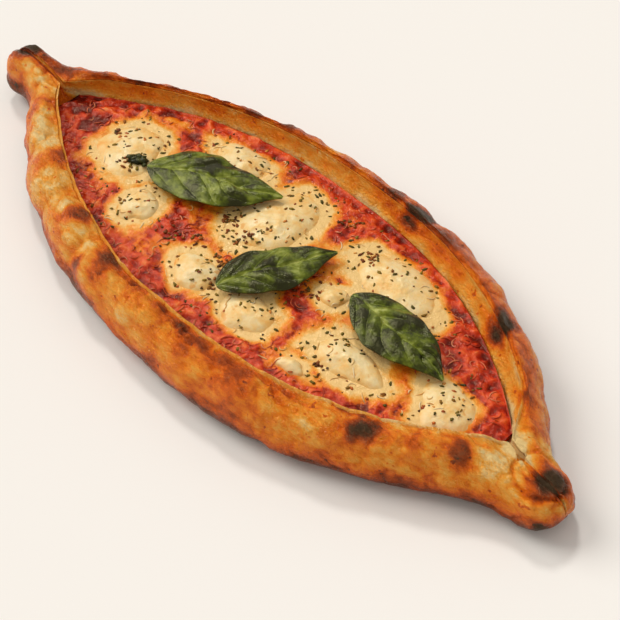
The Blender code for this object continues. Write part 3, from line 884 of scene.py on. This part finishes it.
def make_leaf(number, finish):
    """One leaf: a blade swept from stem to tip, with a sunk midrib and puckered fields between side veins.

    Its half width runs as sin(pi t ** 0.78) ** 0.88, t being 0 at the stem and 1 at the tip."""
    stem_x, stem_y, tip_x, tip_y, half_width, bow, pucker, curl = BASIL_LEAVES[number]
    stem, tip = np.array([stem_x, stem_y]), np.array([tip_x, tip_y])
    way = (tip - stem) / np.linalg.norm(tip - stem)
    left = np.array([-way[1], way[0]])
    t = np.linspace(0, 1, 182)[1:-1, None]
    v = np.linspace(-1, 1, 91)[None, :]
    width = half_width * (np.sin(np.pi * t**0.78) ** 0.88) * (1 - 0.34 * smooth_step(t, 0.78, 1.0)) + 0.0004
    edge_wave = 1 + 0.025 * np.sin(2 * np.pi * (4.3 * t + 0.3 * np.sign(v) + 0.37 * number)) * np.abs(v) ** 3
    bend = bow + 0.0016 * np.sin(2 * np.pi * t + number)
    flat = stem + t[..., None] * (tip - stem) + (bend * np.sin(np.pi * t))[..., None] * left
    flat = flat + (width * v * edge_wave)[..., None] * left
    x, y = flat[..., 0], flat[..., 1]
    wander = 0.22 * layered(plan(6 * t + 5 * number, np.sign(v) + 0 * t), 1.0, 2, 110)
    phase = 5.4 * t - 1.55 * np.abs(v) ** 1.35 + 0.35 * (v > 0) + wander
    field = np.abs(np.sin(np.pi * phase)) ** 0.8
    midrib = np.exp(-((v * width / 0.0007) ** 2))
    veins = np.exp(-((field / 0.13) ** 2)) * (1 - np.abs(v) ** 3)
    blade = np.sin(np.pi * t) ** 0.7
    uneven = 0.7 + 0.6 * layered(plan(x, y), 0.011, 2, 120 + number)
    lift = 0.0014 * (1 - v**2) * np.sin(np.pi * t)
    lift += 1.25 * pucker * uneven * field**0.8 * (1 - v**4) * blade
    lift += curl * 0.5 * (np.abs(v) ** 3) * blade * (0.5 + 0.5 * np.sin(6 * t + 2 * np.sign(v) + number))
    lift += 0.0009 * layered(plan(x, y), 0.009, 2, 100 + number) * blade
    lift -= 0.0007 * midrib * blade
    base = filling_height(x, y) + LEAF_REST - 0.0002
    under = points_of(x, y, base + np.clip(lift, -0.0006, 0.0034))
    over = under + np.array([0, 0, 0.0005])
    rings = np.concatenate([under, over[:, ::-1]], axis=1)
    rings[..., 2] = np.minimum(rings[..., 2], CAD_BOX[1][2])
    vein = np.clip(midrib + 0.7 * veins, 0, 1) + 0 * x
    values = {"vein": np.concatenate([vein, vein[:, ::-1]], axis=1)}
    ends = []
    for point in (stem, tip):
        height = filling_height(point[:1], point[1:])[0] + LEAF_REST + LEAF_THICKNESS / 2
        ends.append((*point, float(height)))
    return ring_solid(f"basil_blade_{number + 1}", rings, np.array(ends), finish, values)


def top_height(x, y):
    """Top of sauce or cheese at scattered points."""
    relief = sauce_relief(x, y)
    for number in range(len(CHEESE_POOLS)):
        place = pool_place(number, x, y)
        above = CHEESE_FLOAT - CHEESE_SINK * smooth_step(place, 0.62, 1.0) + cheese_height(number, x, y)
        relief = np.where(place < 1, np.maximum(relief, above), relief)
    return filling_height(x, y) + relief


def inside_opening(x, y, margin):
    """True where a point lies that far inside the lips."""
    return np.abs(y - centre_line(x)) < opening_half_width(x) - margin


def scattered(rng, count, keep):
    """count random points in the opening, each kept with the chance keep(x, y)."""
    x = rng.uniform(-0.118, 0.125, count * 30)
    y = rng.uniform(-0.046, 0.046, count * 30)
    kept = inside_opening(x, y, 0.003) & (rng.uniform(0, 1, x.size) < keep(x, y))
    return x[kept][:count], y[kept][:count]


CHIP_FACES = [np.array([[0, 1, 2], [0, 2, 3], [0, 3, 4], [0, 4, 5], [0, 5, 1],
                        [6, 2, 1], [6, 3, 2], [6, 4, 3], [6, 5, 4], [6, 1, 5]])]


def chips(rng, x, y, long, wide, thick, sink=0.0001):
    """Small irregular five-sided chips: a bent outline with a point above and one below its middle."""
    count = x.size
    turn = np.linspace(0, 2 * np.pi, 5, endpoint=False)[None, :] + rng.uniform(-0.35, 0.35, (count, 5))
    size = rng.uniform(0.6, 1.15, (count, 1)) * rng.uniform(0.75, 1.1, (count, 5))
    u, v = long * size * np.cos(turn), wide * size * np.sin(turn)
    across, along = turned(u, v, rng.uniform(0, 2 * np.pi, (count, 1)))
    base = top_height(x, y) - sink + 0.5 * thick
    tilt = rng.uniform(-0.35, 0.35, (count, 1))
    pz = base[:, None] + tilt * u + rng.uniform(-0.15, 0.15, (count, 5)) * thick
    rim = points_of(x[:, None] + across, y[:, None] + along, pz)
    above = points_of(x, y, base + 0.5 * thick)[:, None]
    below = points_of(x, y, base - 0.5 * thick)[:, None]
    return np.concatenate([above, rim, below], axis=1)


def speckled(name, colours, roughness):
    """A dry flake's material: its colour picked along a ramp by each flake's own shade."""
    n = Nodes(name)
    mottle = n.math("MULTIPLY_ADD", n.noise(0.0007, 2.0), 0.4, -0.2)
    shade = n.math("ADD", n.value("shade"), mottle, clamp=True)
    colour = n.ramp(shade, [(i / (len(colours) - 1), colour) for i, colour in enumerate(colours)])
    normal = n.bump(n.noise(0.0004), 0.0001, 0.6)
    return n.finish(Base_Color=colour, Roughness=roughness, Normal=normal, Specular_IOR_Level=0.25)


def threads(rng, x, y, length, radius, rise):
    """Thin curved threads of seven stations and four sides, lying on the filling, thinner at both ends."""
    count = x.size
    t = np.linspace(-1, 1, 7)[None, :]
    angle = rng.uniform(0, 2 * np.pi, (count, 1))
    bend = rng.uniform(-0.9, 0.9, (count, 1))
    half = 0.5 * length * rng.uniform(0.5, 1.2, (count, 1))
    heading = angle + bend * t
    px = x[:, None] + half * t * np.cos(heading)
    py = y[:, None] + half * t * np.sin(heading)
    pz = top_height(px, py) + rise * (1 - t**2) + 0.2 * radius
    thick = radius * (0.25 + 0.75 * (1 - t**4)) * rng.uniform(0.7, 1.3, (count, 1))
    ring = np.linspace(0, 2 * np.pi, 5)[:-1]
    side = points_of(-np.sin(heading), np.cos(heading), 0.0)
    up = np.array([0, 0, 1.0])
    spine = points_of(px, py, pz)[:, :, None]
    round_it = np.cos(ring)[:, None] * side[:, :, None] + np.sin(ring)[:, None] * up
    return (spine + thick[..., None, None] * round_it).reshape(count, -1, 3)


def thread_faces():
    """Faces of one thread of seven stations of four points, closed by its two end squares."""
    quads = []
    for first in range(0, 24, 4):
        for i in range(4):
            after = (i + 1) % 4
            quads.append((first + i, first + after, first + 4 + after, first + 4 + i))
    return [np.array(quads + [(3, 2, 1, 0), (24, 25, 26, 27)])]


# Colours of the seasoning from dark to light
OREGANO = ((0.050, 0.042, 0.004), (0.11, 0.090, 0.006), (0.26, 0.17, 0.010), (0.24, 0.075, 0.006))
PEPPER = ((0.010, 0.008, 0.006), (0.05, 0.022, 0.010), (0.16, 0.05, 0.015))
CHILLI = ((0.30, 0.045, 0.008), (0.62, 0.16, 0.02), (0.80, 0.36, 0.06))
TOMATO_FIBRE = ((0.42, 0.03, 0.012), (0.70, 0.12, 0.04), (0.80, 0.30, 0.14))
CHEESE_STRAND = ((0.82, 0.42, 0.10), (0.88, 0.62, 0.26), (0.90, 0.76, 0.46))
TOASTED_CRUMB = ((0.060, 0.020, 0.004), (0.22, 0.050, 0.006), (0.40, 0.13, 0.015), (0.09, 0.075, 0.008))
CRISPED_BASIL = ((0.012, 0.014, 0.002), (0.035, 0.040, 0.005), (0.09, 0.09, 0.02))
FIBRE_COUNT, STRAND_COUNT, CRUMB_COUNT, SCRAP_COUNT = 260, 120, 150, 14


def on_cheese(x, y):
    """Chance of a flake: high on the cheese, lower on the sauce, none in the tips."""
    return (0.25 + 0.75 * halo(x, y)) * plateau(x, -0.100, -0.085, 0.108, 0.122)


def red_zone(x, y):
    """Chance of a tomato fibre: only where no cheese melted over the sauce."""
    return 1 - np.clip(melt(x, y) * 2.5, 0, 1)


def between(x, y):
    """Chance of a cheese strand: where cheese melted over the sauce."""
    return np.clip(melt(x, y) * 1.6, 0, 1)


def make_seasoning(settings):
    """Oregano, pepper, chilli, tomato fibres, cheese strands, toasted crumbs and a crisped basil scrap.

    Each kind is one object, and the random draws run in this order."""
    rng = np.random.default_rng(settings.seed)

    def scatter(name, pieces, faces, finish):
        shade = rng.uniform(0, 1, len(pieces))
        declare(many(name, pieces, faces, finish, {"shade": shade}), ())

    x, y = scattered(rng, settings.flake_count, on_cheese)
    flakes = chips(rng, x, y, 0.00135, 0.00070, 0.00040)
    scatter("oregano_flakes", flakes, CHIP_FACES, speckled("dried_oregano", OREGANO, 0.6))
    x, y = scattered(rng, settings.flake_count // 5, on_cheese)
    grit = chips(rng, x, y, 0.00055, 0.00048, 0.0004)
    scatter("pepper_grit", grit, CHIP_FACES, speckled("cracked_pepper", PEPPER, 0.6))
    x, y = scattered(rng, settings.flake_count // 3, on_cheese)
    flakes = chips(rng, x, y, 0.0012, 0.0007, 0.0003)
    scatter("chilli_flakes", flakes, CHIP_FACES, speckled("chilli_flakes", CHILLI, 0.35))

    x, y = scattered(rng, FIBRE_COUNT, red_zone)
    fibres = threads(rng, x, y, 0.0050, 0.00024, 0.00020)
    finish = speckled("tomato_fibres", TOMATO_FIBRE, 0.25)
    scatter("tomato_fibres", fibres, thread_faces(), finish)
    x, y = scattered(rng, STRAND_COUNT, between)
    strands = threads(rng, x, y, 0.0040, 0.00024, 0.0001)
    finish = speckled("cheese_strands", CHEESE_STRAND, 0.3)
    scatter("cheese_strands", strands, thread_faces(), finish)

    clumps = np.array(CRUMB_CLUMPS)
    pick = rng.integers(0, len(clumps), CRUMB_COUNT)
    x = clumps[pick, 0] + rng.normal(0, 0.0026, CRUMB_COUNT)
    y = clumps[pick, 1] + rng.normal(0, 0.0026, CRUMB_COUNT)
    finish = speckled("toasted_crumbs", TOASTED_CRUMB, 0.4)
    crumbs = chips(rng, x, y, 0.0013, 0.0008, 0.0006)
    scatter("toasted_crumbs", crumbs, CHIP_FACES, finish)
    x = HERB_SCRAP[0] + rng.normal(0, 0.0019, SCRAP_COUNT)
    y = HERB_SCRAP[1] + rng.normal(0, 0.0011, SCRAP_COUNT)
    scraps = chips(rng, x, y, 0.0030, 0.0018, 0.0016)
    scatter("basil_scraps", scraps, CHIP_FACES, speckled("crisped_basil", CRISPED_BASIL, 0.3))


def floor_finish(colour):
    """The plain pale table."""
    n = Nodes("pale_table")
    return n.finish(Base_Color=(*colour, 1), Roughness=0.9, Specular_IOR_Level=0.0)


def add_sun(name, settings):
    """One soft light, shining at the aim of the camera."""
    place, degrees, share, colour = SUNS[name]
    lamp = bpy.data.lights.new(name, "SUN")
    lamp.angle = np.radians(degrees)
    lamp.energy = share * settings.key_strength
    lamp.color = colour
    sun = bpy.data.objects.new(name, lamp)
    sun.location = place
    sun.rotation_euler = facing(sun.location, CAMERA_AIM)
    bpy.context.scene.collection.objects.link(sun)


def make_stage(settings):
    """Pale table, two soft suns from the left, even sky light and the camera."""
    side = TABLE_HALF_SIDE
    corners = [(-side, -side, 0), (side, -side, 0), (side, side, 0), (-side, side, 0)]
    mesh = bpy.data.meshes.new("pale_table")
    mesh.from_pydata(corners, [], [(0, 1, 2, 3)])
    mesh.materials.append(floor_finish(settings.table_colour))
    table = bpy.data.objects.new("pale_table", mesh)
    bpy.context.scene.collection.objects.link(table)
    world = bpy.data.worlds.new("studio")
    world.use_nodes = True
    sky = world.node_tree.nodes["Background"].inputs
    sky["Color"].default_value = (*SKY_COLOUR, 1)
    sky["Strength"].default_value = settings.sky_strength
    bpy.context.scene.world = world
    for name in SUNS:
        add_sun(name, settings)
    eye = bpy.data.cameras.new("camera")
    eye.sensor_width = SENSOR_MM
    eye.lens = LENS_MM
    camera = bpy.data.objects.new("camera", eye)
    camera.location = CAMERA_PLACE
    camera.rotation_euler = facing(camera.location, CAMERA_AIM)
    bpy.context.scene.collection.objects.link(camera)
    bpy.context.scene.camera = camera
    bpy.context.scene.view_settings.view_transform = "Standard"


def facing(place, target):
    """Euler angles that turn an object's -Z from place to target, its Y kept upward."""
    return (Vector(target) - Vector(place)).to_track_quat("-Z", "Y").to_euler()


def amount(name, description, default, low, high):
    """A number the user may change, with its limits."""
    return bpy.props.FloatProperty(name=name, description=description, default=default, min=low, max=high)


class PideSettings(bpy.types.PropertyGroup):
    """Colours and amounts a user may change."""

    crust_browning: amount("Browning", "Added to the bake of the whole crust", 0.0, -0.3, 0.3)
    crust_crinkle: amount("Crinkle", "Strength of the small wrinkles in the crust", 1.0, 0, 3)
    sauce_roughness: amount("Sauce roughness", "Lowest roughness of the wet sauce", 0.11, 0.05, 0.6)
    cheese_toast: amount("Cheese toast", "Added to the cheese's yellow and orange stain", 0.0, -0.5, 0.5)
    leaf_roughness: amount("Leaf roughness", "Roughness of the basil", 0.14, 0.1, 0.8)
    flake_count: bpy.props.IntProperty(
        name="Oregano flakes", description="Number of oregano flakes", default=400, min=0, max=2000)
    seed: bpy.props.IntProperty(name="Seed", description="Random seed of the seasoning", default=5)
    table_colour: bpy.props.FloatVectorProperty(
        name="Table colour", description="Colour of the table", subtype="COLOR",
        default=(0.946, 0.926, 0.902), min=0, max=1)
    sky_strength: amount("Sky strength", "Strength of the even light", 0.50, 0, 3)
    key_strength: amount("Key strength", "Strength of the soft key light", 1.58, 0, 10)


class Step:
    """What the operators share: each builds its part of the pide from the scene's settings."""

    def execute(self, context):
        self.build(context.scene.pide)
        return {"FINISHED"}


class PIDE_OT_crust(Step, bpy.types.Operator):
    """Builds the crust"""

    bl_idname = "pide.crust"
    bl_label = "Crust"

    def build(self, settings):
        declare(make_crust(settings), ("crust",))


class PIDE_OT_sauce(Step, bpy.types.Operator):
    """Builds the tomato sauce"""

    bl_idname = "pide.sauce"
    bl_label = "Sauce"

    def build(self, settings):
        declare(make_sauce(settings), ("tomato_sauce",))


class PIDE_OT_cheese(Step, bpy.types.Operator):
    """Builds the melted cheese pools"""

    bl_idname = "pide.cheese"
    bl_label = "Cheese pools"

    def build(self, settings):
        finish = cheese_finish(settings)
        for number in range(len(CHEESE_POOLS)):
            declare(make_cheese(number, finish), (f"mozzarella_{number + 1}",))


class PIDE_OT_basil(Step, bpy.types.Operator):
    """Builds the basil leaves"""

    bl_idname = "pide.basil"
    bl_label = "Basil leaves"

    def build(self, settings):
        finish = leaf_finish(settings)
        for number in range(len(BASIL_LEAVES)):
            declare(make_leaf(number, finish), (f"basil_leaf_{number + 1}",))


class PIDE_OT_seasoning(Step, bpy.types.Operator):
    """Scatters the herbs, flakes, fibres and strands"""

    bl_idname = "pide.seasoning"
    bl_label = "Seasoning"

    def build(self, settings):
        make_seasoning(settings)


class PIDE_OT_stage(Step, bpy.types.Operator):
    """Adds the table, the lights and the camera"""

    bl_idname = "pide.stage"
    bl_label = "Stage"

    def build(self, settings):
        make_stage(settings)


class PIDE_PT_panel(bpy.types.Panel):
    """Settings and steps of the pide"""

    bl_idname = "PIDE_PT_panel"
    bl_label = "Turkish pide"
    bl_space_type = "VIEW_3D"
    bl_region_type = "UI"
    bl_category = "Pide"

    def draw(self, context):
        for label in PideSettings.__annotations__:
            self.layout.prop(context.scene.pide, label)
        for step in STEPS:
            self.layout.operator(step.bl_idname)


STEPS = (PIDE_OT_crust, PIDE_OT_sauce, PIDE_OT_cheese, PIDE_OT_basil, PIDE_OT_seasoning, PIDE_OT_stage)
CLASSES = (PideSettings, *STEPS, PIDE_PT_panel)


def register():
    for made in CLASSES:
        bpy.utils.register_class(made)
    bpy.types.Scene.pide = bpy.props.PointerProperty(type=PideSettings)


def unregister():
    del bpy.types.Scene.pide
    for made in reversed(CLASSES):
        bpy.utils.unregister_class(made)


def main():
    register()
    bpy.ops.pide.crust()
    bpy.ops.pide.sauce()
    bpy.ops.pide.cheese()
    bpy.ops.pide.basil()
    bpy.ops.pide.seasoning()
    bpy.ops.pide.stage()


if __name__ == "__main__":
    main()
